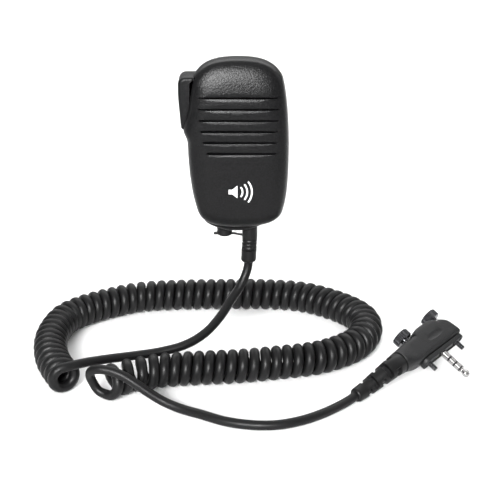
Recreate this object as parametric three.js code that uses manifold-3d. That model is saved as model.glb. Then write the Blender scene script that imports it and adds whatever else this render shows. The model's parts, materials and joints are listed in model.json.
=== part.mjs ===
// A hand microphone for a two-way radio: a speaker microphone with a press-to-talk bar and a
// swivelling lapel clip, a curly cord, and a two-screw radio plug with a four-pole 3.5 mm pin.
// Millimetres. +X is the right side seen from the front, the front faces -Y, +Z is up.
// The origin is the outer face of the lapel clip, at the height of the clip's swivel screw.
import * as THREE from "three";
import { mergeVertices } from "three/addons/utils/BufferGeometryUtils.js";
import Module from "manifold-3d";

const wasm = await Module();
wasm.setup();

// ---- Driving dimensions ----
const HALF_WIDTH = 23.95; // microphone case, at its widest
const CASE_TOP = 39.3;
const CASE_BOTTOM = -42; // of the front shell, whose chin is lower
const CHIN_BOTTOM = -45.4;
const FRONT_Y = -37; // crown of the front face
const PARTING_Y = -24.5; // between the front and rear shells
const REAR_Y = -13; // flat rear face
const WALL = 1.8;
const GAP = 0.3; // between pieces that touch
const SEAM = 0.5; // half the groove that the case gasket lies in

const SLOT_COUNT = 6;
const SLOT_PITCH = 5.26;
const SLOT_TOP_Z = 22.6;
const SLOT_HEIGHT = 2.2;
const SLOT_LEFT = [-18.3, -18.3, -18.3, -17.6, -16.4, -14.7];
const SLOT_RIGHT = [19.1, 19.1, 19.0, 18.5, 18.2, 18.1];

const PTT_OUTER_X = -27.5;
const PTT_INNER_X = -20.6;
const PTT_BOTTOM = 6.4;
const PTT_TOP = 31.2;
const PTT_FRONT_Y = -31;
const PTT_REAR_Y = -17;
const PTT_PIVOT = { x: -23.4, z: 9.2 };
const PTT_FLARE = 2.1; // how far the case swells out under the bar
const PLUNGER_Z = 26;

const SPEAKER = { x: 1, z: 9.5, radius: 16.5, magnetRadius: 11 };

const INLET_Y = -20; // the cable boot and the earphone jack, under the chin
const BOOT_X = 5.5;
const BOOT_RADIUS = 3.7;
const BOOT_BOTTOM = -64.3;
const RIB_FROM = 52.1; // the boot's rib grooves, below the origin
const RIB_PITCH = 1.87;
const JACK_X = -6.85;
const JACK_RADIUS = 3.2;
const CAP_RADIUS = 3.75;
const CAP_BOTTOM = 50.4;
const CHIN_X = -1.2;

const CLIP_PIN = { y: -6.5, z: 12 };
const CLIP_HALF_WIDTH = 11;

const SURFACE_Z = -109; // what the cord lies on, below the held microphone
const CORD_RADIUS = 2.2;
const COIL_RADIUS = 8.3; // outside radius of the curly part
const PLUG_POSITION = [98.8, -49.6, -99.6];
const PLUG_HEADING = 48.5; // degrees from +X
const PLUG_RISE = 4.2;
const PLUG_ROLL = 27.8;
const PIN_RADIUS = 1.75; // 3.5 mm four-pole pin
const PIN_LENGTH = 17;
const SCREW_HALF_SPACING = 12;
const PLUG_HALF_THICKNESS = 4.8;
const NECK = { x: -26, y: 8.4, radius: 5.4 };

// ---- Materials ----
function material(color, roughness, metalness) {
  return new THREE.MeshStandardMaterial({ color, roughness, metalness });
}
const SHELL = material(0x26272a, 0.6, 0);
const SATIN_BLACK = material(0x1a1b1d, 0.45, 0);
const RUBBER = material(0x161617, 0.8, 0);
const CORD = material(0x1c1d1f, 0.5, 0);
const PLUG_GREY = material(0x3a3b3e, 0.6, 0);
const NICKEL = material(0xd8d9dc, 0.2, 1);
const DARK_METAL = material(0x2c2d30, 0.35, 1);
const STEEL = material(0x9a9ca0, 0.35, 1);
const BOARD_GREEN = material(0x1f5a3a, 0.5, 0);
const PAPER = material(0x3b3833, 0.9, 0);
const CLOTH = material(0x101011, 0.95, 0);

const microphone = new THREE.Group();

// ---- Shape helpers ----
function piece(name, geometry, finish, parent = microphone) {
  const shape = geometry.index ? geometry.toNonIndexed() : geometry;
  shape.computeVertexNormals();
  const made = new THREE.Mesh(shape, finish);
  made.name = name;
  parent.add(made);
  return made;
}

function toSolid(geometry) {
  const bare = geometry.index ? geometry.toNonIndexed() : geometry.clone();
  bare.deleteAttribute("normal");
  bare.deleteAttribute("uv");
  const merged = mergeVertices(bare, 1e-3);
  return new wasm.Manifold(
    new wasm.Mesh({
      numProp: 3,
      vertProperties: merged.attributes.position.array,
      triVerts: new Uint32Array(merged.index.array),
    }),
  );
}

function fromSolid(solid) {
  const { vertProperties, triVerts } = solid.getMesh();
  const geometry = new THREE.BufferGeometry();
  geometry.setAttribute("position", new THREE.BufferAttribute(vertProperties, 3));
  geometry.setIndex(new THREE.BufferAttribute(triVerts, 1));
  return geometry;
}

function cut(geometry, ...tools) {
  return fromSolid(tools.reduce((solid, tool) => solid.subtract(toSolid(tool)), toSolid(geometry)));
}

function join(geometry, ...others) {
  return fromSolid(others.reduce((solid, other) => solid.add(toSolid(other)), toSolid(geometry)));
}

// A box between two opposite corners.
function block(low, high) {
  const size = high.map((value, i) => value - low[i]);
  const middle = high.map((value, i) => (value + low[i]) / 2);
  return new THREE.BoxGeometry(...size).translate(...middle);
}

// A turned solid: the profile is a list of [radius, height], along Y, and it starts and ends on
// the axis or closes on itself. Its points are put in the order that turns the faces outwards.
function turned(profile, sides = 16) {
  const points = profile.map(([radius, height]) => new THREE.Vector2(radius, height));
  const next = (i) => points[(i + 1) % points.length];
  const area = points.reduce((sum, p, i) => sum + p.cross(next(i)), 0);
  return new THREE.LatheGeometry(area < 0 ? points.reverse() : points, sides);
}

function alongX(geometry) {
  return geometry.rotateZ(-Math.PI / 2);
}

// Turns a solid whose heights are distances below the origin.
function pointingDown(geometry) {
  return geometry.rotateX(-Math.PI / 2);
}

// A solid rod along Y between two heights.
function rod(radius, low, high, sides = 16) {
  return turned([[0, low], [radius, low], [radius, high], [0, high]], sides);
}

// A ring along Y: an annulus between two heights.
function ring(inner, outer, low, high, sides = 20) {
  return turned(
    [[inner, low], [outer, low], [outer, high], [inner, high], [inner, low]],
    sides,
  );
}

// A closed skin through rings of points, all of one length, with a fan over each end.
function loft(rings) {
  const count = rings[0].length;
  const points = rings.flat();
  const index = [];
  for (let r = 0; r + 1 < rings.length; r++) {
    for (let i = 0; i < count; i++) {
      const a = r * count + i;
      const b = r * count + ((i + 1) % count);
      index.push(a, b, b + count, a, b + count, a + count);
    }
  }
  for (const last of [false, true]) {
    const start = last ? (rings.length - 1) * count : 0;
    const end = rings[last ? rings.length - 1 : 0];
    const middle = end.reduce((sum, p) => sum.add(p), new THREE.Vector3()).divideScalar(count);
    points.push(middle);
    for (let i = 0; i < count; i++) {
      const a = start + i;
      const b = start + ((i + 1) % count);
      index.push(...(last ? [a, b] : [b, a]), points.length - 1);
    }
  }
  let volume = 0;
  for (let i = 0; i < index.length; i += 3) {
    const [a, b, c] = [0, 1, 2].map((k) => points[index[i + k]]);
    volume += a.dot(new THREE.Vector3().crossVectors(b, c));
  }
  if (volume < 0) index.reverse();
  const geometry = new THREE.BufferGeometry().setFromPoints(points);
  geometry.setIndex(index);
  return geometry;
}

// A flat outline in X and Z, given thickness along Y.
function plate(outline, front, rear, holes = []) {
  const shape = new THREE.Shape(outline.map(([x, z]) => new THREE.Vector2(x, z)));
  shape.holes.push(...holes);
  const geometry = new THREE.ExtrudeGeometry(shape, { depth: rear - front, bevelEnabled: false });
  return geometry.rotateX(Math.PI / 2).translate(0, rear, 0);
}

function roundHole(x, z, radius) {
  return new THREE.Path().absarc(x, z, radius, 0, 2 * Math.PI, true);
}

// A rounded rectangle outline centred on (x, z).
function roundedRectangle(x, z, halfWidth, halfHeight, corner) {
  const points = [];
  const steps = 4;
  [[1, 1, 0], [-1, 1, 1], [-1, -1, 2], [1, -1, 3]].forEach(([sx, sz, quarter]) => {
    for (let i = 0; i <= steps; i++) {
      const angle = ((quarter + i / steps) * Math.PI) / 2;
      points.push([
        x + sx * (halfWidth - corner) + corner * Math.cos(angle),
        z + sz * (halfHeight - corner) + corner * Math.sin(angle),
      ]);
    }
  });
  return points;
}

// ---- The case outline ----
// Each side runs from the top to the bottom: a crowned top, a wide corner, nearly straight sides
// that narrow downwards, and a rounder lower corner. The left side narrows a little sooner.
const TOP_CURVE = [[0, CASE_TOP], [8.8, CASE_TOP], [16.4, 38.2], [20.6, 31]];
const RIGHT_CURVES = [
  TOP_CURVE,
  [[20.6, 31], [22.6, 25], [HALF_WIDTH, 10], [HALF_WIDTH, -3]],
  [[HALF_WIDTH, -3], [HALF_WIDTH, -16], [23.6, -27], [21.2, -34.4]],
  [[21.2, -34.4], [19.6, -38.6], [14.5, CASE_BOTTOM], [0, CASE_BOTTOM]],
];
const LEFT_CURVES = [
  TOP_CURVE,
  [[20.6, 31], [22.4, 26], [23.65, 11.3], [23.65, 0]],
  [[23.65, 0], [23.65, -14.8], [22, -27], [19.4, -34.4]],
  [[19.4, -34.4], [17.6, -39], [13.5, CASE_BOTTOM], [0, CASE_BOTTOM]],
];
function sideOutline(curves) {
  const side = new THREE.CurvePath();
  for (const points of curves) {
    side.add(new THREE.CubicBezierCurve(...points.map(([x, z]) => new THREE.Vector2(x, z))));
  }
  return side.getPoints(4);
}

// The left side also swells out under the press-to-talk bar.
const FLARE_Z = 6.5;
function flare(z) {
  const width = z > FLARE_Z ? 7.5 : 4;
  return PTT_FLARE * Math.exp(-(((z - FLARE_Z) / width) ** 2));
}
const leftSide = sideOutline(LEFT_CURVES)
  .slice(1, -1)
  .reverse()
  .map((p) => new THREE.Vector2(-p.x - flare(p.y), p.y));
const caseOutline = [...sideOutline(RIGHT_CURVES), ...leftSide];
const MIDDLE_Z = (CASE_TOP + CASE_BOTTOM) / 2;
const HALF_HEIGHT = (CASE_TOP - CASE_BOTTOM) / 2;

// The front face leans back towards the top.
const LEAN_FROM = 12;
function lean(z) {
  return z > LEAN_FROM ? 3.9 * ((z - LEAN_FROM) / (CASE_TOP - LEAN_FROM)) ** 2 : 0;
}

function caseRing(y, inset, leaning = 0) {
  const acrossX = 1 - inset / HALF_WIDTH;
  const acrossZ = 1 - inset / HALF_HEIGHT;
  return caseOutline.map((p) => {
    const z = MIDDLE_Z + (p.y - MIDDLE_Z) * acrossZ;
    return new THREE.Vector3(p.x * acrossX, y + leaning * lean(z), z);
  });
}

// Crowned front and rear: each entry is depth from the face, inset from the outline.
const FRONT_CROWN = [[0, 13], [0.4, 8], [1.2, 4.6], [2.7, 2.1], [5, 0.7], [8, 0.15]];
const REAR_CROWN = [[0, 7], [0.3, 5], [1.4, 3], [3.4, 1.5], [7, 0.5]];

// The outside of each shell has thickness 0; its cavity is a plainer copy, one wall smaller.
function crownSteps(crown, thickness) {
  return thickness > 0 ? crown.filter((_, i) => i % 2 === 0) : crown;
}

function frontBody(thickness, partingY) {
  const rings = crownSteps(FRONT_CROWN, thickness).map(([depth, inset]) =>
    caseRing(FRONT_Y + thickness + depth, inset + thickness, Math.max(0, 1 - depth / 8)),
  );
  return loft([...rings, caseRing(partingY, thickness)]);
}

function rearBody(thickness, partingY) {
  const rings = crownSteps(REAR_CROWN, thickness).map(([depth, inset]) =>
    caseRing(REAR_Y - thickness - depth, inset + thickness),
  );
  return loft([...rings, caseRing(partingY, 0.25 + thickness)]);
}

// ---- Case ----
const pocket = block([-40, PTT_FRONT_Y - 0.5, PTT_BOTTOM - 0.6], [-17, PTT_REAR_Y + 0.5, PTT_TOP + 0.6]);
const bootWay = pointingDown(rod(BOOT_RADIUS + 0.3, 30, 60)).translate(BOOT_X, INLET_Y, 0);
const jackWay = pointingDown(rod(JACK_RADIUS + 0.3, 30, 60)).translate(JACK_X, INLET_Y, 0);

// A louvre: straight top, lower corners cut at 45 degrees.
function slot(i) {
  const low = SLOT_TOP_Z - i * SLOT_PITCH;
  const cutCorner = 0.9;
  return plate(
    [
      [SLOT_LEFT[i], low + SLOT_HEIGHT],
      [SLOT_LEFT[i], low + cutCorner],
      [SLOT_LEFT[i] + cutCorner, low],
      [SLOT_RIGHT[i] - cutCorner, low],
      [SLOT_RIGHT[i], low + cutCorner],
      [SLOT_RIGHT[i], low + SLOT_HEIGHT],
    ],
    FRONT_Y - 2,
    FRONT_Y + 4.6,
  );
}
const slots = Array.from({ length: SLOT_COUNT }, (_, i) => slot(i));
piece(
  "front_case",
  cut(frontBody(0, PARTING_Y - SEAM), frontBody(WALL, PARTING_Y + 1), pocket, ...slots),
  SHELL,
);

// The rear shell carries the chin, a convex lip that shows below the front shell.
function chinRing(z, halfWidth, halfDepth) {
  const points = [];
  const count = 32;
  for (let i = 0; i < count; i++) {
    const angle = (i / count) * 2 * Math.PI;
    const cos = Math.cos(angle);
    const sin = Math.sin(angle);
    const x = CHIN_X + halfWidth * Math.sign(cos) * Math.abs(cos) ** 0.75;
    const y = INLET_Y - 1.5 + halfDepth * Math.sign(sin) * Math.abs(sin) ** 0.6;
    points.push(new THREE.Vector3(x, y, z));
  }
  return points;
}
const chin = loft([
  chinRing(-36.3, 15.4, 6.3),
  chinRing(-40.2, 15.7, 7),
  chinRing(-41.6, 15.2, 7.2),
  chinRing(-43.3, 12.2, 6.7),
  chinRing(-44.8, 8, 6),
  chinRing(CHIN_BOTTOM, 4.4, 5.2),
]);
const screwPlaces = [[-13.5, 28], [13.5, 28], [-13.5, -31], [13.5, -31]];
const screwWay = turned([[0, -24], [1.5, -24], [1.5, -16], [2.4, -16], [2.4, -12], [0, -12]]);
const screwWays = screwPlaces.map(([x, z]) => screwWay.clone().translate(x, 0, z));
const clipScrewWay = rod(2.6, REAR_Y - 6, REAR_Y + 1);
const underFront = frontBody(-GAP, PARTING_Y + SEAM - 0.1);
piece(
  "rear_case",
  cut(
    join(rearBody(0, PARTING_Y + SEAM), cut(chin, underFront)),
    rearBody(WALL, PARTING_Y - 1),
    pocket,
    bootWay,
    jackWay,
    clipScrewWay,
    ...screwWays,
  ),
  SHELL,
);

// A thin seal all round the seam, open where the press-to-talk bar is.
const gasketOuter = loft([caseRing(PARTING_Y - 0.2, 0.7), caseRing(PARTING_Y + 0.2, 0.7)]);
const gasketInner = loft([caseRing(PARTING_Y - 1, 1.7), caseRing(PARTING_Y + 1, 1.7)]);
piece("case_gasket", cut(gasketOuter, gasketInner, pocket), RUBBER);

// Four screws in the rear face, their heads sunk in it.
screwPlaces.forEach(([x, z], i) => {
  const screw = turned([[0, -5.8], [1.2, -5.8], [1.2, -2.6], [2.1, -2.6], [2.1, -0.9], [0, -0.9]], 12);
  piece("case_screw_" + (i + 1), screw.translate(x, REAR_Y, z), STEEL);
});

// ---- Press-to-talk ----
const pivotBore = rod(1.2, PTT_FRONT_Y - 1, PTT_REAR_Y + 1, 16).translate(PTT_PIVOT.x, 0, PTT_PIVOT.z);
const buttonOutline = [
  [PTT_INNER_X - 0.9, PTT_BOTTOM],
  [PTT_INNER_X, PTT_BOTTOM + 2],
  [PTT_INNER_X, PTT_TOP],
  [-24.6, PTT_TOP],
  [-26.4, PTT_TOP - 0.9],
  [-27.3, PTT_TOP - 2.8],
  [PTT_OUTER_X, PTT_TOP - 5],
  [-27.1, PTT_BOTTOM + 6],
  [-26.7, PTT_BOTTOM + 1.4],
  [-26, PTT_BOTTOM],
];
piece("ptt_button", cut(plate(buttonOutline, PTT_FRONT_Y, PTT_REAR_Y), pivotBore), SATIN_BLACK);
piece(
  "ptt_pivot_pin",
  rod(0.9, PTT_FRONT_Y - 0.2, PTT_REAR_Y + 0.2, 16).translate(PTT_PIVOT.x, 0, PTT_PIVOT.z),
  STEEL,
);
const plungerY = (PTT_FRONT_Y + PTT_REAR_Y) / 2;
const plungerHole = alongX(rod(1.9, -30, 30)).translate(0, plungerY, PLUNGER_Z);
piece(
  "ptt_seal",
  cut(block([-17.6, PTT_FRONT_Y, PTT_BOTTOM], [-17.1, PTT_REAR_Y, PTT_TOP - 0.4]), plungerHole),
  RUBBER,
);
piece("ptt_plunger", alongX(rod(1.5, -19.9, -17.5, 16)).translate(0, plungerY, PLUNGER_Z), SATIN_BLACK);
piece("ptt_switch", block([-15.4, -26, PLUNGER_Z - 3], [-10.6, -21, PLUNGER_Z + 3]), STEEL);

// ---- Speaker, microphone capsule and circuit board ----
function atSpeaker(geometry) {
  return geometry.translate(SPEAKER.x, 0, SPEAKER.z);
}
piece(
  "grille_cloth",
  plate(roundedRectangle(1, SPEAKER.z - 0.6, 16, 15, 4), -32.6, -32.2),
  CLOTH,
);
piece(
  "speaker_gasket",
  atSpeaker(ring(SPEAKER.radius - 2.5, SPEAKER.radius, -31.9, -31)),
  RUBBER,
);
piece(
  "speaker_frame",
  atSpeaker(
    turned(
      [
        [SPEAKER.radius - 1.6, -30.7],
        [SPEAKER.radius, -30.7],
        [SPEAKER.radius, -29.4],
        [SPEAKER.magnetRadius, -27.6],
        [5, -27.6],
        [5, -28.2],
        [SPEAKER.magnetRadius - 0.6, -28.2],
        [SPEAKER.radius - 1.6, -29.8],
        [SPEAKER.radius - 1.6, -30.7],
      ],
      20,
    ),
  ),
  STEEL,
);
piece(
  "speaker_cone",
  atSpeaker(
    turned(
      [[0, -29.9], [4.2, -29.9], [9, -30.1], [SPEAKER.radius - 2, -30.5], [9, -29.6], [4.2, -29], [0, -29]],
      20,
    ),
  ),
  PAPER,
);
piece("speaker_magnet", atSpeaker(rod(SPEAKER.magnetRadius, -27.3, -22.6, 20)), DARK_METAL);
piece(
  "speaker_bracket",
  block([-15.5, -22.3, SPEAKER.z - 3], [19, -21.5, SPEAKER.z + 3]),
  STEEL,
);
const CAPSULE = { x: -8, z: -14.5 };
piece(
  "mic_capsule",
  rod(3, -32.6, -30).translate(CAPSULE.x, 0, CAPSULE.z),
  STEEL,
);
piece(
  "mic_capsule_boot",
  turned([[3.3, -33], [4.4, -33], [4.4, -28.6], [0, -28.6], [0, -29.6], [3.3, -29.6], [3.3, -33]])
    .translate(CAPSULE.x, 0, CAPSULE.z),
  RUBBER,
);
piece(
  "circuit_board",
  plate(roundedRectangle(1.5, -2, 15.5, 32, 2), -20.6, -19.4, [
    roundHole(-10.5, 26.5, 1.4),
    roundHole(0, 0, 4),
  ]),
  BOARD_GREEN,
);

// ---- Earphone jack and its cap ----
piece(
  "earphone_jack",
  pointingDown(
    turned(
      [[1.85, 45], [JACK_RADIUS, 45], [JACK_RADIUS, 34.5], [0, 34.5], [0, 37], [1.85, 37], [1.85, 45]],
    ),
  ).translate(JACK_X, INLET_Y, 0),
  NICKEL,
);
const capBody = pointingDown(
  turned([
    [0, 38.6],
    [1.5, 38.6],
    [1.5, CAP_BOTTOM - 2.5],
    [CAP_RADIUS - 0.35, CAP_BOTTOM - 2.5],
    [CAP_RADIUS, CAP_BOTTOM - 1.4],
    [CAP_RADIUS - 0.6, CAP_BOTTOM - 0.4],
    [0, CAP_BOTTOM],
  ]),
).translate(JACK_X, INLET_Y, 0);
const TAB_TOP = 1.3 - CAP_BOTTOM;
const capTab = block(
  [JACK_X - CAP_RADIUS - 1.6, INLET_Y - 1.4, TAB_TOP - 0.65],
  [JACK_X - 2, INLET_Y + 1.4, TAB_TOP],
);
piece("jack_cap", join(capBody, capTab), RUBBER);
const strapStart = JACK_X + CAP_RADIUS + 0.3;
const strapEnd = BOOT_X - BOOT_RADIUS - 0.3;
const STRAP_THICKNESS = 0.6;
const STRAP_DROP = 0.8;
piece(
  "jack_cap_strap",
  plate(
    [
      [strapStart, TAB_TOP],
      [strapStart, TAB_TOP - STRAP_THICKNESS],
      [strapEnd, TAB_TOP - STRAP_THICKNESS - STRAP_DROP],
      [strapEnd, TAB_TOP - STRAP_DROP],
    ],
    INLET_Y - 1.3,
    INLET_Y + 1.3,
  ),
  RUBBER,
);

// ---- Cable boot and clamp ----
function bootProfile() {
  const profile = [[0, 34.7], [4.2, 34.7], [4.2, 35.7], [BOOT_RADIUS, 35.7], [BOOT_RADIUS, RIB_FROM]];
  for (let i = 0; i < 3; i++) {
    const height = RIB_FROM + i * RIB_PITCH;
    profile.push([BOOT_RADIUS - 0.5, height + 0.4], [BOOT_RADIUS - 0.5, height + 0.9]);
    profile.push([BOOT_RADIUS, height + 1.2], [BOOT_RADIUS, height + RIB_PITCH]);
  }
  profile.push([BOOT_RADIUS, 62.9], [BOOT_RADIUS - 1, -BOOT_BOTTOM], [0, -BOOT_BOTTOM]);
  return profile;
}
piece("cable_boot", pointingDown(turned(bootProfile())).translate(BOOT_X, INLET_Y, 0), RUBBER);
piece(
  "cable_clamp",
  cut(
    block([BOOT_X - 6, -19, -34.3], [BOOT_X + 6, -17.4, -31]),
    pointingDown(rod(CORD_RADIUS, 30, 42)).translate(BOOT_X, -20, 0),
  ),
  STEEL,
);

// ---- Lapel clip ----
const PLATE_FRONT_Y = -11.8;
const PLATE_REAR_Y = -10;
piece("swivel_washer", ring(2.7, 7, REAR_Y + GAP, PLATE_FRONT_Y - GAP), NICKEL);
piece(
  "clip_swivel_screw",
  turned([[0, -18], [2.2, -18], [2.2, PLATE_REAR_Y + GAP], [4.4, PLATE_REAR_Y + GAP], [4, -8.4], [0, -8.2]]),
  STEEL,
);
const pinBore = alongX(rod(1.3, -20, 20, 16)).translate(0, CLIP_PIN.y, CLIP_PIN.z);
function ears(inner, outer, frontY, rearY) {
  return [-1, 1].map((sign) =>
    block(
      [Math.min(sign * inner, sign * outer), frontY, CLIP_PIN.z - 3.4],
      [Math.max(sign * inner, sign * outer), rearY, CLIP_PIN.z + 3.4],
    ),
  );
}
piece(
  "clip_plate",
  cut(
    join(
      plate(roundedRectangle(0, -3, CLIP_HALF_WIDTH, 22, 4), PLATE_FRONT_Y, PLATE_REAR_Y, [
        roundHole(0, 0, 2.6),
      ]),
      ...ears(8.2, 9.8, PLATE_REAR_Y - 0.5, CLIP_PIN.y + 3),
    ),
    pinBore,
  ),
  SATIN_BLACK,
);
const leverPlate = plate(roundedRectangle(0, 1.5, 9.2, 24.5, 4), -2, 0);
const leverToe = block([-8, PLATE_REAR_Y + GAP, -22.8], [8, -1, -20.6]);
piece(
  "clip_lever",
  cut(join(leverPlate, leverToe, ...ears(5.6, 7.4, CLIP_PIN.y - 2.2, -1)), pinBore),
  SATIN_BLACK,
);
piece(
  "clip_pin",
  alongX(rod(1, -9.9, 9.9, 16)).translate(0, CLIP_PIN.y, CLIP_PIN.z),
  STEEL,
);
piece(
  "clip_spring",
  alongX(ring(1.4, 2.6, -4.6, 4.6, 20)).translate(0, CLIP_PIN.y, CLIP_PIN.z),
  STEEL,
);

// ---- Cord ----
// A round section drawn along a smooth curve through the route's points.
function cordTube(route, radius, sides, steps) {
  const curve = new THREE.CatmullRomCurve3(route.map((p) => new THREE.Vector3(...p)), false, "centripetal");
  const section = new THREE.Shape();
  for (let i = 0; i < sides; i++) {
    const angle = (i / sides) * 2 * Math.PI;
    const point = [radius * Math.cos(angle), radius * Math.sin(angle)];
    if (i === 0) section.moveTo(...point);
    else section.lineTo(...point);
  }
  section.closePath();
  return new THREE.ExtrudeGeometry(section, { steps, extrudePath: curve, bevelEnabled: false });
}

const LYING = SURFACE_Z + CORD_RADIUS + 0.1;
const MIC_LEAD = [
  [BOOT_X, INLET_Y, BOOT_BOTTOM - GAP],
  [5.4, -20.1, -67],
  [3.9, -21.4, -71.4],
  [0.8, -24.4, -76.6],
  [-3.6, -29, -81.2],
  [-9.4, -37, -87.4],
  [-16.6, -44.6, -92.2],
  [-26, -50, -95.6],
  [-38, -53.6, -97.4],
  [-50, -57.4, -97.4],
  [-59, -61.4, -96.6],
  [-66, -66.6, -95.2],
  [-71.5, -71, -94.6],
  [-77.4, -75.2, -94.6],
];
piece("cord_lead_mic", cordTube(MIC_LEAD, CORD_RADIUS, 10, 30), CORD);

const COIL_ROUTE = [
  [-81.4, -71.6],
  [-88, -58],
  [-92.1, -43.4],
  [-93, -28],
  [-88.9, -10.4],
  [-79.2, 0.4],
  [-66.2, 8.8],
  [-53.4, 14.9],
  [-32, 17.8],
  [-10.6, 18.6],
  [11, 18.6],
  [32.5, 15.4],
  [46.5, 7.6],
  [57.8, -2.9],
  [63.5, -12.4],
  [64.4, -23],
  [61, -34],
  [54.6, -42.6],
  [39.3, -52.8],
  [19.9, -58],
  [0.8, -61.6],
  [-18, -63.6],
  [-36.9, -66],
  [-47.5, -69.2],
  [-56.5, -74.2],
].map(([x, y]) => [x, y, SURFACE_Z + COIL_RADIUS]);
piece("cord_coil", cordTube(COIL_ROUTE, COIL_RADIUS, 12, 44), CORD);

const PLUG_LEAD = [
  [-58.8, -76.6, LYING],
  [-62.6, -78.3, -105.6],
  [-66.4, -79.2, -101.4],
  [-68.5, -80, -96.8],
  [-66.4, -81.4, -94],
  [-61.7, -82.6, -93.4],
  [-55.6, -84.4, -94.5],
  [-47.7, -85.8, -97.6],
  [-40.4, -86.4, -101.4],
  [-33.4, -87.4, -105],
  [-25.4, -90.4, LYING],
  [-16.4, -95.8, LYING],
  [-5.5, -101.6, LYING],
  [5.6, -104.6, LYING],
  [16.7, -104.8, LYING],
  [27.7, -101.4, LYING],
  [38.6, -94.8, LYING],
  [46.6, -88, LYING],
  [50.5, -84.5, -106.4],
  [53.8, -81.5, -105.8],
];
piece("cord_lead_plug", cordTube(PLUG_LEAD, CORD_RADIUS, 10, 44), CORD);

// ---- Radio plug ----
// In the plug's own frame +X runs along the housing away from the cable, the pin points to -Y,
// and +Z is the broad upper face.
const plug = new THREE.Group();
plug.position.set(...PLUG_POSITION);
plug.rotation.set(
  THREE.MathUtils.degToRad(PLUG_ROLL),
  THREE.MathUtils.degToRad(-PLUG_RISE),
  THREE.MathUtils.degToRad(PLUG_HEADING),
  "ZYX",
);
microphone.add(plug);
plug.updateMatrixWorld(true);

const HOUSING_FACE_Y = 1.8;
const BEVEL = 1.5;
const housingShape = new THREE.Shape();
housingShape.moveTo(NECK.x + BEVEL, NECK.y - NECK.radius + BEVEL);
housingShape.bezierCurveTo(-22, 3.6, -19, HOUSING_FACE_Y + BEVEL, -15, HOUSING_FACE_Y + BEVEL);
housingShape.lineTo(16 - BEVEL, HOUSING_FACE_Y + BEVEL);
housingShape.quadraticCurveTo(17.4 - BEVEL, 4, 17 - BEVEL, 6);
housingShape.lineTo(15.8 - BEVEL, 11 - BEVEL);
housingShape.quadraticCurveTo(14.8 - BEVEL, 13.4 - BEVEL, 12, 13.6 - BEVEL);
housingShape.lineTo(8, 13.8 - BEVEL);
housingShape.bezierCurveTo(6.6, 15.4 - BEVEL, 4, 16.4 - BEVEL, 0.6, 16.4 - BEVEL);
housingShape.bezierCurveTo(-3.4, 16.4 - BEVEL, -6.4, 15.6 - BEVEL, -8.4, 13.8 - BEVEL);
housingShape.lineTo(NECK.x + BEVEL, NECK.y + NECK.radius - BEVEL);
housingShape.closePath();
const housingBlank = new THREE.ExtrudeGeometry(housingShape, {
  depth: 2 * (PLUG_HALF_THICKNESS - BEVEL),
  bevelThickness: BEVEL,
  bevelSize: BEVEL,
  bevelSegments: 2,
  curveSegments: 5,
}).translate(0, 0, BEVEL - PLUG_HALF_THICKNESS);
const SCREW_X = [-SCREW_HALF_SPACING, SCREW_HALF_SPACING];
function screwHoles(radius) {
  return SCREW_X.map((x) => rod(radius, -10, 30, 16).translate(x, 0, 0));
}
piece("plug_housing", cut(housingBlank, ...screwHoles(1.7)), PLUG_GREY, plug);

const INSERT_HALF_LENGTH = 16.4;
const INSERT_HALF_HEIGHT = 3.7;
const insertBlank = plate(
  roundedRectangle(0.4, 0, INSERT_HALF_LENGTH, INSERT_HALF_HEIGHT, INSERT_HALF_HEIGHT - 0.1),
  -0.6,
  HOUSING_FACE_Y - GAP,
);
const pinSeat = rod(PIN_RADIUS + 0.3, -3, 0.6, 20);
piece("plug_insert", cut(insertBlank, pinSeat, ...screwHoles(1.7)), SATIN_BLACK, plug);

// The four-pole pin: sleeve, two rings and a tip, with an insulator between each two.
const INSULATOR = 0.5;
const HAIR = 0.1; // clearance between the pin's stacked pieces
const PIN_STEPS = [0.4, -4.4, -8, -11.4];
piece("plug_sleeve", rod(PIN_RADIUS, PIN_STEPS[1], PIN_STEPS[0]), NICKEL, plug);
for (let i = 1; i <= 3; i++) {
  const top = PIN_STEPS[i] - HAIR;
  piece("plug_insulator_" + i, rod(PIN_RADIUS - 0.05, top - INSULATOR, top), SATIN_BLACK, plug);
  if (i < 3) {
    piece("plug_ring_" + i, rod(PIN_RADIUS, PIN_STEPS[i + 1], top - INSULATOR - HAIR), NICKEL, plug);
  }
}
const TIP_START = PIN_STEPS[3] - 2 * HAIR - INSULATOR;
piece(
  "plug_tip",
  turned([
    [0, -PIN_LENGTH],
    [0.7, -PIN_LENGTH + 0.1],
    [1.2, -PIN_LENGTH + 0.6],
    [PIN_RADIUS, -15],
    [1.15, -13.2],
    [1.15, -12.7],
    [PIN_RADIUS, TIP_START - 0.3],
    [PIN_RADIUS, TIP_START],
    [0, TIP_START],
  ]),
  NICKEL,
  plug,
);

// Two captive thumb screws, each with a retaining washer under its head.
["near", "far"].forEach((name, i) => {
  const screw = turned(
    [
      [0, -5],
      [0.95, -5],
      [1.25, -4.6],
      [1.25, 14.4],
      [2.2, 14.4],
      [2.2, 15.4],
      [4.4, 15.4],
      [4.6, 15.8],
      [4.6, 19],
      [4.2, 19.4],
      [0, 19.4],
    ],
    20,
  );
  piece(name + "_thumb_screw", screw.translate(SCREW_X[i], 0, 0), DARK_METAL, plug);
  piece(name + "_screw_washer", ring(1.45, 2.9, 13.9, 14.2, 20).translate(SCREW_X[i], 0, 0), NICKEL, plug);
});

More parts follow.
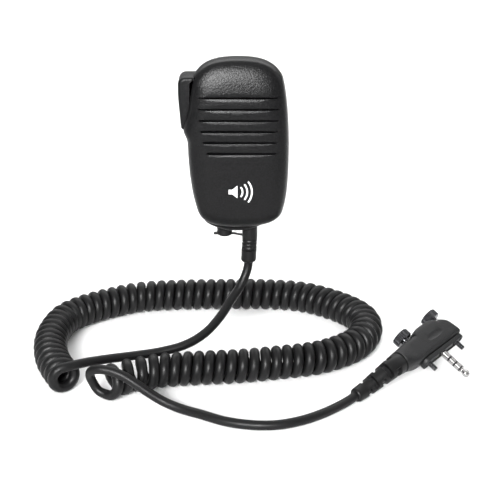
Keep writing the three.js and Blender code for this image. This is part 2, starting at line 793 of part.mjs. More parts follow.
// The cable boot of the plug: a taper that runs down from the housing's neck to the cord.
function taperedSweep(route, startRadius, endRadius, sides, steps) {
  const curve = new THREE.CatmullRomCurve3(route);
  const frames = curve.computeFrenetFrames(steps);
  const rings = [];
  for (let i = 0; i <= steps; i++) {
    const centre = curve.getPointAt(i / steps);
    const radius = startRadius + (endRadius - startRadius) * (i / steps);
    const points = [];
    for (let k = 0; k < sides; k++) {
      const angle = (k / sides) * 2 * Math.PI;
      const offset = frames.normals[i].clone().multiplyScalar(radius * Math.cos(angle));
      offset.addScaledVector(frames.binormals[i], radius * Math.sin(angle));
      points.push(centre.clone().add(offset));
    }
    rings.push(points);
  }
  return loft(rings);
}
const neckEnd = plug.localToWorld(new THREE.Vector3(NECK.x - 0.3, NECK.y, 0));
const neckAhead = plug.localToWorld(new THREE.Vector3(NECK.x - 6, NECK.y, 0));
const cordEnd = new THREE.Vector3(54.1, -81.2, -105.7);
const bootTail = new THREE.Vector3(58.2, -77.5, -104.9);
piece(
  "plug_boot",
  taperedSweep([neckEnd, neckAhead, bootTail, cordEnd], NECK.radius, 2.9, 16, 10),
  RUBBER,
);

export default microphone;
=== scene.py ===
"""A hand-held radio microphone with a curly cord and a two-screw plug, dressed over its CAD frame.

Lengths in this script are millimetres in the frame's own axes, turned into metres by MM, apart
from the floor's and the lights', which are metres. +X is to the right seen from the front, the
grille faces -Y, +Z is up.
"""
import json
import math

import bmesh
import bpy
import numpy as np
from mathutils import Matrix, Vector


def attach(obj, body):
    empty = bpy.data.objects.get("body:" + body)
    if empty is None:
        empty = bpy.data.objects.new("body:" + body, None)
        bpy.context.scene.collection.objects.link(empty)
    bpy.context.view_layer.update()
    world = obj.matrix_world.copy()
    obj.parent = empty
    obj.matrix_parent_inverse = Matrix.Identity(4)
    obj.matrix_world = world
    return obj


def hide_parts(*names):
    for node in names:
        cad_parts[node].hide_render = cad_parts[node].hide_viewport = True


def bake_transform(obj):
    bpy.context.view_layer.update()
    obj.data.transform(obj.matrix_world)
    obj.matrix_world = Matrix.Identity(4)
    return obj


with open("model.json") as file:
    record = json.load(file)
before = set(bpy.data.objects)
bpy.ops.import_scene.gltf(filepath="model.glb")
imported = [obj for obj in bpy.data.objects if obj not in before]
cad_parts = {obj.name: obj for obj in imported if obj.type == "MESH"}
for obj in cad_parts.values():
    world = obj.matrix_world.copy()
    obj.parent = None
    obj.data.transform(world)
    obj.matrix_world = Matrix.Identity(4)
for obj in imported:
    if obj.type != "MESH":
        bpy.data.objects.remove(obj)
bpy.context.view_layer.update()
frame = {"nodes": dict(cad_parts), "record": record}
MM = 0.001

# ---- Driving dimensions, the same as the CAD's ----
HALF_WIDTH = 23.95
CASE_TOP = 39.3
CASE_BOTTOM = -42.0
CHIN_BOTTOM = -45.4
CHIN_X = -1.2
FRONT_Y = -37.0
PARTING_Y = -24.5
REAR_Y = -13.0
WALL = 1.8
SLOT_COUNT = 6
SLOT_PITCH = 5.26
SLOT_TOP_Z = 22.6
SLOT_LEFT = [-18.3, -18.3, -18.3, -17.6, -16.4, -14.7]
SLOT_RIGHT = [19.1, 19.1, 19.0, 18.5, 18.2, 18.1]
PTT_OUTER_X = -27.5
PTT_INNER_X = -20.6
PTT_BOTTOM = 6.4
PTT_TOP = 31.2
PTT_FRONT_Y = -31
PTT_REAR_Y = -17
PTT_FLARE = 2.1
INLET_Y = -20.0
BOOT_X = 5.5
BOOT_RADIUS = 3.7
BOOT_BOTTOM = -64.3
JACK_X = -6.85
JACK_RADIUS = 3.2
CAP_RADIUS = 3.75
CAP_BOTTOM = 50.4
CLIP_PIN_Y = -6.5
CLIP_PIN_Z = 12
SURFACE_Z = -109.0
CORD_RADIUS = 2.2
COIL_RADIUS = 8.3
LYING = SURFACE_Z + CORD_RADIUS + 0.1
PLUG_POSITION = (98.8, -49.6, -99.6)
PLUG_HEADING = 48.5
PLUG_RISE = 4.2
PLUG_ROLL = 27.8
PIN_RADIUS = 1.75
PIN_LENGTH = 17
SCREW_HALF_SPACING = 12
NECK_X = -26
NECK_Y = 8.4
NECK_RADIUS = 5.4

CRISP_ANGLE = 32  # degrees between faces above which an edge stays sharp


# ---- Outlines and rings ----
def smooth_route(points, per_span):
    """A centripetal Catmull-Rom curve through the points."""
    p = np.asarray(points, float)
    ends = [2 * p[0] - p[1], *p, 2 * p[-1] - p[-2]]
    out = []
    for a, b, c, d in zip(ends, ends[1:], ends[2:], ends[3:]):
        t = np.cumsum([0, *[np.linalg.norm(y - x) ** 0.5 for x, y in ((a, b), (b, c), (c, d))]])
        for s in np.linspace(t[1], t[2], per_span, endpoint=False):
            a1 = a + (b - a) * (s - t[0]) / (t[1] - t[0])
            a2 = b + (c - b) * (s - t[1]) / (t[2] - t[1])
            a3 = c + (d - c) * (s - t[2]) / (t[3] - t[2])
            b1 = a1 + (a2 - a1) * (s - t[0]) / (t[2] - t[0])
            b2 = a2 + (a3 - a2) * (s - t[1]) / (t[3] - t[1])
            out.append(b1 + (b2 - b1) * (s - t[1]) / (t[2] - t[1]))
    out.append(p[-1])
    return np.array(out)


def lengths_along(route):
    steps = np.linalg.norm(np.diff(route, axis=0), axis=1)
    return np.concatenate([[0], np.cumsum(steps)])


def resample(route, count):
    along = lengths_along(route)
    wanted = np.linspace(0, along[-1], count)
    return np.column_stack([np.interp(wanted, along, route[:, k]) for k in range(3)])


def ease(value):
    """0 below 0, 1 above 1, and smooth between."""
    share = np.clip(value, 0, 1)
    return share * share * (3 - 2 * share)


def bezier(points, count):
    p = np.asarray(points, float)
    t = np.linspace(0, 1, count, endpoint=False)[:, None]
    return (1 - t) ** 3 * p[0] + 3 * (1 - t) ** 2 * t * p[1] + 3 * (1 - t) * t**2 * p[2] + t**3 * p[3]


def filleted(corners, steps=8):
    """A closed outline through corners (a, b, radius), each rounded by an arc."""
    places = [np.array(corner[:2], float) for corner in corners]
    out = []
    for k, (*_, radius) in enumerate(corners):
        here = places[k]
        back = places[k - 1] - here
        ahead = places[(k + 1) % len(places)] - here
        back /= np.linalg.norm(back)
        ahead /= np.linalg.norm(ahead)
        half = math.acos(np.clip(back @ ahead, -1, 1)) / 2
        inward = (back + ahead) / np.linalg.norm(back + ahead)
        centre = here + inward * radius / math.sin(half)
        start = here + back * radius / math.tan(half) - centre
        end = here + ahead * radius / math.tan(half) - centre
        first = math.atan2(start[1], start[0])
        sweep = (math.atan2(end[1], end[0]) - first + math.pi) % (2 * math.pi) - math.pi
        for angle in first + sweep * np.linspace(0, 1, steps + 1):
            out.append(centre + radius * np.array((math.cos(angle), math.sin(angle))))
    return np.array(out)


def rounded_rectangle(a, b, half_a, half_b, corner):
    corners = [(a + i * half_a, b + j * half_b, corner) for i, j in ((1, 1), (-1, 1), (-1, -1), (1, -1))]
    return filleted(corners)


def inset_outline(outline, distance):
    """The closed outline, moved inwards by a distance."""
    ahead = np.roll(outline, -1, axis=0) - outline
    ahead /= np.linalg.norm(ahead, axis=1)[:, None]
    mean = ahead + np.roll(ahead, 1, axis=0)
    mean /= np.linalg.norm(mean, axis=1)[:, None]
    left = np.column_stack([-mean[:, 1], mean[:, 0]])
    nxt = np.roll(outline, -1, axis=0)
    area = np.sum(outline[:, 0] * nxt[:, 1] - nxt[:, 0] * outline[:, 1])
    return outline + left * distance * (1 if area > 0 else -1)


def stacked(outline, steps):
    """Rings (a, b, height) of an outline, one for each (inset, height)."""
    return [
        np.column_stack([inset_outline(outline, inset), np.full(len(outline), float(height))])
        for inset, height in steps
    ]


def rounded_plate(outline, low, high, radius, steps=5):
    """Rings (a, b, height) of a plate whose edges are rounded."""
    angles = np.linspace(0, math.pi / 2, steps + 1)
    bottom = [(radius * (1 - math.sin(t)), low + radius * (1 - math.cos(t))) for t in angles]
    top = [(inset, high + low - height) for inset, height in reversed(bottom)]
    return stacked(outline, bottom + top)


def turned(profile, sides=64, ripple=None):
    """Rings (a, b, height) of a turned shape, one for each (radius, height) of its profile.
    ripple(height, angle) adds to the radius."""
    angle = np.linspace(0, 2 * math.pi, sides, endpoint=False)
    rings = []
    for radius, height in profile:
        reach = np.full(sides, float(radius))
        if ripple is not None and radius > 0:
            reach = reach + ripple(height, angle)
        level = np.full(sides, height)
        rings.append(np.column_stack([reach * np.cos(angle), reach * np.sin(angle), level]))
    return rings


def disc(radius, low, high, edge=0.15):
    """The profile of a solid round bar with small chamfers."""
    foot = [(0, low), (radius - edge, low), (radius, low + edge)]
    return [*foot, (radius, high - edge), (radius - edge, high), (0, high)]


# ---- Placing rings (a, b, height) in the frame ----
def along_y(rings, x=0.0, z=0.0):
    return [ring[:, [0, 2, 1]] + (x, 0, z) for ring in rings]


def along_x(rings):
    return [ring[:, [2, 0, 1]] for ring in rings]


def hanging(rings, x, y):
    """Heights are distances below the origin."""
    return [ring * (1, 1, -1) + (x, y, 0) for ring in rings]


PLUG_TURN = np.array(
    Matrix.Rotation(math.radians(PLUG_HEADING), 3, "Z")
    @ Matrix.Rotation(math.radians(-PLUG_RISE), 3, "Y")
    @ Matrix.Rotation(math.radians(PLUG_ROLL), 3, "X")
)


def in_plug(rings):
    """From the plug's own frame: +X along the housing away from the cable, the pin points to -Y."""
    return [np.asarray(ring) @ PLUG_TURN.T + PLUG_POSITION for ring in rings]


# ---- Making pieces ----
def link(name, data):
    piece = bpy.data.objects.new(name, data)
    bpy.context.scene.collection.objects.link(piece)
    return piece


def shade(data):
    data.shade_smooth()
    data.set_sharp_from_angle(angle=math.radians(CRISP_ANGLE))


def mesh_piece(name, rings, finish=None, loop=False):
    """A closed mesh through rings of points, all of one length: a tube closed on itself if loop,
    and otherwise closed by a face over each end."""
    count = len(rings[0])
    faces = []
    for r in range(len(rings) - (0 if loop else 1)):
        a = r * count
        b = ((r + 1) % len(rings)) * count
        faces += [(a + i, a + (i + 1) % count, b + (i + 1) % count, b + i) for i in range(count)]
    if not loop:
        faces.append(tuple(range(count)))
        faces.append(tuple(range((len(rings) - 1) * count, len(rings) * count)))
    data = bpy.data.meshes.new(name)
    data.from_pydata((np.vstack(rings) * MM).tolist(), [], faces)
    work = bmesh.new()
    work.from_mesh(data)
    bmesh.ops.remove_doubles(work, verts=work.verts, dist=1e-7)
    bmesh.ops.recalc_face_normals(work, faces=work.faces)
    work.to_mesh(data)
    work.free()
    if finish is not None:
        data.materials.append(finish)
    shade(data)
    return link(name, data)


def carve(piece, tools, operation="DIFFERENCE"):
    """Cuts the tools out of a piece, or joins them to it, and removes them."""
    for tool in tools:
        step = piece.modifiers.new(tool.name, "BOOLEAN")
        step.operation = operation
        step.solver = "MANIFOLD"
        step.object = tool
    view = bpy.context.evaluated_depsgraph_get()
    result = bpy.data.meshes.new_from_object(piece.evaluated_get(view))
    piece.modifiers.clear()
    piece.data = result
    for tool in tools:
        bpy.data.objects.remove(tool)
    shade(result)
    return piece


def block(low, high):
    """A plain box between two corners, as a cutting tool."""
    (x0, y0, z0), (x1, y1, z1) = low, high
    ends = [np.array([(x0, y, z0), (x1, y, z0), (x1, y, z1), (x0, y, z1)], float) for y in (y0, y1)]
    return mesh_piece("tool", ends)


def dress(piece, body, slot, *nodes):
    """Rides a piece on its body, and hides the CAD nodes that it stands for."""
    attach(piece, body)
    if nodes:
        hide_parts(*nodes)
    return piece


# ---- Materials ----
def new_material(name, color, roughness, metallic=0.0, specular=0.5):
    finish = bpy.data.materials.new(name)
    finish.use_nodes = True
    shader = finish.node_tree.nodes["Principled BSDF"]
    shader.inputs["Base Color"].default_value = (*color, 1)
    shader.inputs["Roughness"].default_value = roughness
    shader.inputs["Metallic"].default_value = metallic
    shader.inputs["Specular IOR Level"].default_value = specular
    return finish


CLOUD_SIZE = 9  # the slow variation of a finish's colour, in millimetres


def grained(finish, size, depth, mottle=0.12, speckle=0.0):
    """Gives a finish a fine grain of one size (mm) and depth (mm), which also varies its gloss and,
    by speckle, its colour, and a slow variation of its colour by mottle."""
    nodes = finish.node_tree.nodes
    links = finish.node_tree.links
    shader = nodes["Principled BSDF"]
    place = nodes.new("ShaderNodeTexCoord")
    fit = nodes.new("ShaderNodeMapping")
    fit.inputs["Scale"].default_value = [1 / (size * MM)] * 3
    links.new(place.outputs["Object"], fit.inputs["Vector"])
    grain = nodes.new("ShaderNodeTexNoise")
    grain.inputs["Scale"].default_value = 1.0
    grain.inputs["Detail"].default_value = 2.0
    grain.inputs["Roughness"].default_value = 0.6
    links.new(fit.outputs["Vector"], grain.inputs["Vector"])
    bump = nodes.new("ShaderNodeBump")
    bump.inputs["Strength"].default_value = 1.0
    bump.inputs["Distance"].default_value = depth * MM
    links.new(grain.outputs["Fac"], bump.inputs["Height"])
    links.new(bump.outputs["Normal"], shader.inputs["Normal"])
    gloss = nodes.new("ShaderNodeMapRange")
    middle = shader.inputs["Roughness"].default_value
    gloss.inputs["From Min"].default_value = 0.3
    gloss.inputs["From Max"].default_value = 0.7
    gloss.inputs["To Min"].default_value = middle * 0.85
    gloss.inputs["To Max"].default_value = middle * 1.15
    links.new(grain.outputs["Fac"], gloss.inputs["Value"])
    links.new(gloss.outputs["Result"], shader.inputs["Roughness"])
    cloud = nodes.new("ShaderNodeTexNoise")
    cloud.inputs["Scale"].default_value = 1 / (CLOUD_SIZE * MM)
    cloud.inputs["Detail"].default_value = 3.0
    links.new(place.outputs["Object"], cloud.inputs["Vector"])
    tone = nodes.new("ShaderNodeMix")
    tone.data_type = "RGBA"
    color = shader.inputs["Base Color"].default_value[:3]
    tone.inputs["A"].default_value = (*[c * (1 - mottle) for c in color], 1)
    tone.inputs["B"].default_value = (*[c * (1 + mottle) for c in color], 1)
    links.new(cloud.outputs["Fac"], tone.inputs["Factor"])
    fleck = nodes.new("ShaderNodeMapRange")
    fleck.inputs["From Min"].default_value = 0.35
    fleck.inputs["From Max"].default_value = 0.65
    fleck.inputs["To Min"].default_value = 1 - speckle
    fleck.inputs["To Max"].default_value = 1 + speckle
    links.new(grain.outputs["Fac"], fleck.inputs["Value"])
    toned = nodes.new("ShaderNodeVectorMath")
    toned.operation = "SCALE"
    links.new(tone.outputs["Result"], toned.inputs["Vector"])
    links.new(fleck.outputs["Result"], toned.inputs["Scale"])
    links.new(toned.outputs["Vector"], shader.inputs["Base Color"])
    return finish


SHELL = grained(
    new_material("shell_grain", (0.004, 0.004, 0.0043), 0.33, specular=0.18), 0.72, 0.13, speckle=0.4
)
SATIN = grained(
    new_material("satin_black", (0.004, 0.004, 0.0043), 0.4, specular=0.18), 0.7, 0.1, speckle=0.3
)
RUBBER = grained(new_material("soft_rubber", (0.004, 0.004, 0.0042), 0.42, specular=0.22), 0.9, 0.04)
JACKET = grained(new_material("cord_jacket", (0.004, 0.004, 0.0042), 0.42, specular=0.22), 1.4, 0.03)
PLUG_GREY = grained(
    new_material("plug_grey", (0.007, 0.007, 0.0075), 0.42, specular=0.25), 0.7, 0.16, speckle=0.35
)
NICKEL = grained(new_material("nickel", (0.44, 0.435, 0.43), 0.18, metallic=1.0), 0.9, 0.002, 0.04)
DARK_METAL = grained(new_material("dark_metal", (0.085, 0.085, 0.09), 0.15, metallic=1.0), 0.4, 0.004)
STEEL = grained(new_material("steel", (0.5, 0.51, 0.53), 0.3, metallic=1.0), 0.5, 0.006, 0.06)
BOARD = grained(new_material("board", (0.02, 0.12, 0.06), 0.4), 2.0, 0.01)
PAPER = grained(new_material("paper", (0.07, 0.065, 0.06), 0.9), 0.5, 0.06)
CLOTH = grained(new_material("cloth", (0.004, 0.004, 0.004), 0.95, specular=0.1), 0.35, 0.12)
PRINT = grained(new_material("white_print", (0.75, 0.75, 0.75), 0.5), 0.4, 0.01, 0.03)
FINISH_OF_SLOT = {
    "shell": SHELL,
    "satin_black": SATIN,
    "soft_rubber": RUBBER,
    "cord_jacket": JACKET,
    "plug_grey": PLUG_GREY,
    "nickel": NICKEL,
    "dark_metal": DARK_METAL,
    "steel": STEEL,
    "board": BOARD,
    "paper": PAPER,
    "cloth": CLOTH,
}
for part in frame["record"]["subparts"]:
    node = frame["nodes"][part["node"]]
    node.data.materials.clear()
    node.data.materials.append(FINISH_OF_SLOT[part["material_slot"]])

# ---- The case's outline, as the CAD draws it ----
TOP_CURVE = [(0, CASE_TOP), (8.8, CASE_TOP), (16.4, 38.2), (20.6, 31)]
RIGHT_CURVES = [
    TOP_CURVE,
    [(20.6, 31), (22.6, 25), (HALF_WIDTH, 10), (HALF_WIDTH, -3)],
    [(HALF_WIDTH, -3), (HALF_WIDTH, -16), (23.6, -27), (21.2, -34.4)],
    [(21.2, -34.4), (19.6, -38.6), (14.5, CASE_BOTTOM), (0, CASE_BOTTOM)],
]
LEFT_CURVES = [
    TOP_CURVE,
    [(20.6, 31), (22.4, 26), (23.65, 11.3), (23.65, 0)],
    [(23.65, 0), (23.65, -14.8), (22, -27), (19.4, -34.4)],
    [(19.4, -34.4), (17.6, -39), (13.5, CASE_BOTTOM), (0, CASE_BOTTOM)],
]
MIDDLE_Z = (CASE_TOP + CASE_BOTTOM) / 2
HALF_HEIGHT = (CASE_TOP - CASE_BOTTOM) / 2
FLARE_Z = 6.5  # where the left side swells most, under the press-to-talk bar
FLARE_ABOVE = 7.5
FLARE_BELOW = 4
LEAN_FROM = 12  # height above which the front face leans back
LEAN = 3.9
LEAN_DEPTH = 8  # how deep behind the face the lean fades out


def case_outline(per_curve):
    """The right side from the top to the bottom, and the left side with its swelling back up."""
    right = np.vstack([*[bezier(points, per_curve) for points in RIGHT_CURVES], [(0, CASE_BOTTOM)]])
    left = np.vstack([bezier(points, per_curve) for points in LEFT_CURVES])[:0:-1].copy()
    width = np.where(left[:, 1] > FLARE_Z, FLARE_ABOVE, FLARE_BELOW)
    left[:, 0] = -left[:, 0] - PTT_FLARE * np.exp(-(((left[:, 1] - FLARE_Z) / width) ** 2))
    return np.vstack([right, left])


def lean(z):
    return LEAN * (np.maximum(z - LEAN_FROM, 0) / (CASE_TOP - LEAN_FROM)) ** 2


def case_ring(outline, y, inset, leaning=0.0):
    x = outline[:, 0] * (1 - inset / HALF_WIDTH)
    z = MIDDLE_Z + (outline[:, 1] - MIDDLE_Z) * (1 - inset / HALF_HEIGHT)
    return np.column_stack([x, y + leaning * lean(z), z])


# Depth from the face, inset from the outline.
FRONT_CROWN = [(0, 21), (0.02, 17), (0.1, 13), (0.45, 8), (1.25, 4.6)]
FRONT_CROWN += [(2.75, 2.1), (5, 0.7), (8, 0.15), (10, 0)]
REAR_CROWN = [(0, 20), (0.03, 12), (0.1, 7), (0.4, 5), (1.5, 3), (3.5, 1.5), (7, 0.5), (9, 0.3)]
SEAM = 0.12  # half the fine line between the shells
SEAM_EDGE = 0.25
REAR_STEP = 0.25  # how far the rear shell's edge stands inside the front shell's
FACE_WALL = 3.2
CHIN_GAP = 0.25


def front_rings(outline, per_span, thickness, face_wall):
    rings = []
    for depth, inset in smooth_route(FRONT_CROWN, per_span):
        leaning = max(0.0, 1 - depth / LEAN_DEPTH)
        rings.append(case_ring(outline, FRONT_Y + face_wall + depth, inset + thickness, leaning))
    return rings


def rear_rings(outline, per_span, thickness):
    rings = []
    for depth, inset in smooth_route(REAR_CROWN, per_span):
        rings.append(case_ring(outline, REAR_Y - thickness - depth, inset + thickness))
    return rings


def pocket():
    low = (-40, PTT_FRONT_Y - 0.5, PTT_BOTTOM - 0.6)
    return block(low, (-17, PTT_REAR_Y + 0.5, PTT_TOP + 0.3))


def round_tool(radius, low, high):
    return turned([(0, low), (radius, low), (radius, high), (0, high)], 48)


# ---- Front shell ----
LIP_HEIGHT = 1.05
SCOOP_HEIGHT = 2.3
OPENING = 0.62
CUT_CORNER = 0.9


def louvre(index):
    """The cutter of one louvre: a scoop that slopes in from above, a narrow opening at its foot,
    and a bevelled lip under it. The opening's lower corners are cut off."""
    low = SLOT_TOP_Z - index * SLOT_PITCH
    left = SLOT_LEFT[index]
    right = SLOT_RIGHT[index]
    rings = []
    for x, rise, scoop in (
        (left, OPENING - 0.1, SCOOP_HEIGHT - 0.5),
        (left + CUT_CORNER, 0, SCOOP_HEIGHT),
        (right - CUT_CORNER, 0, SCOOP_HEIGHT),
        (right, OPENING - 0.1, SCOOP_HEIGHT - 0.5),
    ):
        profile = [
            (-1, scoop),
            (0, scoop),
            (0.15, scoop - 0.5),
            (0.42, scoop - 1.2),
            (0.75, OPENING),
            (6, OPENING),
            (6, rise),
            (0.72, rise),
            (0.58, rise - 0.04),
            (0.44, rise - 0.13),
            (0.012, rise - LIP_HEIGHT + 0.04),
            (0, rise - LIP_HEIGHT),
            (-1, rise - LIP_HEIGHT),
        ]
        places = [(x, FRONT_Y + depth + lean(low + height), low + height) for depth, height in profile]
        rings.append(np.array(places))
    return mesh_piece("tool", rings)


def front_case():
    fine = case_outline(28)
    plain = case_outline(8)
    rings = front_rings(fine, 5, 0, 0)
    rings.append(case_ring(fine, PARTING_Y - SEAM - SEAM_EDGE, 0))
    rings.append(case_ring(fine, PARTING_Y - SEAM, SEAM_EDGE))
    shell = mesh_piece("front_shell", rings, SHELL)
    inner = front_rings(plain, 1, WALL, FACE_WALL)
    inner.append(case_ring(plain, PARTING_Y + 1, WALL))
    louvres = [louvre(i) for i in range(SLOT_COUNT)]
    carve(shell, [mesh_piece("tool", inner), pocket(), *louvres])
    return dress(shell, "microphone", "shell", "front_case")


front_case()


# ---- Rear shell, with the chin under the front shell ----
CHIN_SECTIONS = [
    (-36.3, 15.4, 6.3),
    (-40, 15.6, 7),
    (-41.2, 15.3, 7.2),
    (-42.2, 14.2, 7.1),
    (-43.4, 11.9, 6.8),
    (-44.5, 8.9, 6.3),
    (-45.1, 6.6, 5.8),
    (CHIN_BOTTOM, 4.2, 4.8),
]
SCREW_PLACES = [(-13.5, 28), (13.5, 28), (-13.5, -31), (13.5, -31)]


def chin():
    rings = []
    angle = np.linspace(0, 2 * math.pi, 120, endpoint=False)
    cos = np.cos(angle)
    sin = np.sin(angle)
    for z, half_width, half_depth in smooth_route(CHIN_SECTIONS, 4):
        x = CHIN_X + half_width * np.sign(cos) * np.abs(cos) ** 0.75
        y = INLET_Y - 1.5 + half_depth * np.sign(sin) * np.abs(sin) ** 0.6
        rings.append(np.column_stack([x, y, np.full(len(x), z)]))
    lip = mesh_piece("tool", rings)
    under_front = front_rings(case_outline(12), 2, -CHIN_GAP, 0)
    under_front.append(case_ring(case_outline(12), PARTING_Y + SEAM - 0.05, -CHIN_GAP))
    return carve(lip, [mesh_piece("tool", under_front)])


def rear_case():
    fine = case_outline(28)
    plain = case_outline(8)
    rings = rear_rings(fine, 5, 0)
    rings.append(case_ring(fine, PARTING_Y + SEAM + SEAM_EDGE, REAR_STEP))
    rings.append(case_ring(fine, PARTING_Y + SEAM, REAR_STEP + SEAM_EDGE))
    shell = mesh_piece("rear_shell", rings, SHELL)
    carve(shell, [chin()], "UNION")
    inner = rear_rings(plain, 1, WALL)
    inner.append(case_ring(plain, PARTING_Y - 1, WALL + REAR_STEP))
    tools = [mesh_piece("tool", inner), pocket()]
    boot_way = turned([(0, 30), (4.0, 30), (4.0, 44.6), (4.7, 46), (0, 46)], 48)
    jack_way = turned([(0, 30), (3.5, 30), (3.5, 47), (0, 47)], 48)
    tools.append(mesh_piece("tool", hanging(boot_way, BOOT_X, INLET_Y)))
    tools.append(mesh_piece("tool", hanging(jack_way, JACK_X, INLET_Y)))
    tools.append(mesh_piece("tool", along_y(round_tool(2.6, REAR_Y - 6, REAR_Y + 1))))
    well = [(0, -24), (1.5, -24), (1.5, -16), (2.5, -16)]
    well += [(2.5, -13.5), (2.9, -13.1), (2.9, -12), (0, -12)]
    for x, z in SCREW_PLACES:
        tools.append(mesh_piece("tool", along_y(turned(well, 40), x, z)))
    carve(shell, tools)
    return dress(shell, "microphone", "shell", "rear_case")


rear_case()


# ---- Screws with a cross recess ----
def cross_screw(name, node, profile, x, z, face_y, body, arm):
    screw = mesh_piece(name, along_y(turned(profile, 48), x, z), STEEL)
    across = (x - arm, face_y - 0.8, z - arm / 4), (x + arm, face_y + 1, z + arm / 4)
    upright = (x - arm / 4, face_y - 0.8, z - arm), (x + arm / 4, face_y + 1, z + arm)
    carve(screw, [block(*across), block(*upright)])
    return dress(screw, body, "steel", node)


BACK_SCREW_FACE_Y = REAR_Y - 0.9
back_screw = [(0, -18.8), (1.2, -18.8), (1.2, -15.6), (2.0, -15.6)]
back_screw += [(2.1, -15.4), (2.1, -14.5), (1.6, -14), (0, BACK_SCREW_FACE_Y)]
for number, (x, z) in enumerate(SCREW_PLACES, 1):
    name = f"back_screw_{number}"
    node = f"case_screw_{number}"
    cross_screw(name, node, back_screw, x, z, BACK_SCREW_FACE_Y, "microphone", 1.1)

# ---- Press-to-talk bar ----
PTT_SHOULDER_X = -19.5  # a shoulder at the top, which closes the pocket behind the bar
ptt_outline = filleted(
    [
        (PTT_SHOULDER_X, PTT_TOP, 0.5),
        (PTT_OUTER_X + 0.1, PTT_TOP, 3.4),
        (PTT_OUTER_X, PTT_TOP - 9, 60),
        (PTT_OUTER_X + 1.1, PTT_BOTTOM, 1.5),
        (PTT_INNER_X - 0.4, PTT_BOTTOM, 0.5),
        (PTT_INNER_X, PTT_TOP - 3.2, 0.3),
        (PTT_SHOULDER_X, PTT_TOP - 2.4, 0.3),
    ]
)
ptt_bar = mesh_piece("ptt_bar", along_y(rounded_plate(ptt_outline, PTT_FRONT_Y, PTT_REAR_Y, 1.5, 7)), SATIN)
dress(ptt_bar, "ptt", "satin_black", "ptt_button")

# ---- Cable boot under the chin ----
RIB_FROM = 52.1
RIB_PITCH = 1.87
RIB_COUNT = 3
BOOT_LEAN = 0.6  # how far the cord pulls the boot's end to the left


def boot_radius(height):
    into_ribs = (height - RIB_FROM) / RIB_PITCH
    if 0 <= into_ribs <= RIB_COUNT:
        return BOOT_RADIUS - 0.55 + 0.6 * abs(math.sin(math.pi * into_ribs)) ** 0.45
    end = -BOOT_BOTTOM
    into_end = max(0.0, height - (end - 1.3)) / 1.3
    return BOOT_RADIUS + 0.05 - 1.1 * (1 - math.sqrt(1 - min(1.0, into_end) ** 2))


boot_profile = [(0, 34.7), (4.0, 34.7), (4.2, 34.9), (4.2, 35.5), (4.0, 35.7), (BOOT_RADIUS, 35.7)]
boot_profile += [(boot_radius(h), h) for h in (40, 45, 48, 50, 51.4, 52)]
boot_profile += [(boot_radius(h), h) for h in np.arange(RIB_FROM, -BOOT_BOTTOM, 0.1)]
boot_profile += [(boot_radius(-BOOT_BOTTOM), -BOOT_BOTTOM), (0, -BOOT_BOTTOM)]
boot_rings = hanging(turned(boot_profile, 72), BOOT_X, INLET_Y)
for ring in boot_rings:
    bend = ease((-ring[:, 2] - RIB_FROM + 3) / 15)
    ring[:, 0] -= BOOT_LEAN * bend
dress(mesh_piece("mic_cable_boot", boot_rings, RUBBER), "microphone", "soft_rubber", "cable_boot")

# ---- Earphone jack and its tethered cap ----
jack_profile = [(1.85, 44.9), (2.0, 45), (JACK_RADIUS - 0.2, 45)]
jack_profile += [(JACK_RADIUS, 44.8), (JACK_RADIUS, 34.5), (1.85, 34.5)]
jack = mesh_piece("jack_barrel", hanging(turned(jack_profile, 56), JACK_X, INLET_Y), NICKEL, loop=True)
dress(jack, "microphone", "nickel", "earphone_jack")

cap_profile = [
    (0, 38.6),
    (1.2, 38.6),
    (1.5, 39),
    (1.5, 45.15),
    (3.8, 45.15),
    (4.0, 45.4),
    (3.75, 46.4),
    (3.6, CAP_BOTTOM - 2.6),
    (CAP_RADIUS, CAP_BOTTOM - 2.2),
    (CAP_RADIUS + 0.05, CAP_BOTTOM - 1.2),
    (CAP_RADIUS - 0.2, CAP_BOTTOM - 0.7),
    (CAP_RADIUS - 0.9, CAP_BOTTOM - 0.3),
    (2, CAP_BOTTOM - 0.1),
    (0, CAP_BOTTOM),
]
cap = mesh_piece("dust_cap", hanging(turned(cap_profile, 56), JACK_X, INLET_Y), RUBBER)
TAB_TOP = 1.3 - CAP_BOTTOM
tab_outline = rounded_rectangle(JACK_X - CAP_RADIUS - 0.1, INLET_Y, 1.5, 1.4, 0.6)
carve(cap, [mesh_piece("tool", rounded_plate(tab_outline, TAB_TOP - 0.65, TAB_TOP, 0.2))], "UNION")
dress(cap, "jack_cap", "soft_rubber", "jack_cap")

STRAP_START = (JACK_X + CAP_RADIUS - 0.4, TAB_TOP - 0.3)
STRAP_END = (BOOT_X - BOOT_RADIUS + 0.3, TAB_TOP - 1.1)
strap_section = rounded_rectangle(0, 0, 1.3, 0.3, 0.2)
strap_rings = []
for share in np.linspace(0, 1, 25):
    waist = 1 - 0.3 * math.sin(math.pi * share)
    centre_x = STRAP_START[0] + (STRAP_END[0] - STRAP_START[0]) * share
    centre_z = STRAP_START[1] + (STRAP_END[1] - STRAP_START[1]) * ease(share)
    y = INLET_Y + strap_section[:, 0] * waist
    strap_rings.append(np.column_stack([np.full(len(y), centre_x), y, centre_z + strap_section[:, 1]]))
strap = mesh_piece("dust_cap_strap", strap_rings, RUBBER)
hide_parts("jack_cap_strap")
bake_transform(strap)

# ---- Lapel clip ----
PLATE_FRONT_Y = -11.8
PLATE_REAR_Y = -10
EAR_TOP = 3.4


def ears(inner, outer, front_y, rear_y):
    """The two lugs that the clip's pin goes through, with round ends."""
    reach = (front_y + rear_y) / 2
    half = (rear_y - front_y) / 2
    outline = rounded_rectangle(reach, CLIP_PIN_Z, half, EAR_TOP, min(half, EAR_TOP) * 0.8)
    lugs = []
    for low, high in ((-outer, -inner), (inner, outer)):
        lugs.append(mesh_piece("tool", along_x(rounded_plate(outline, low, high, 0.25, 3))))
    return lugs


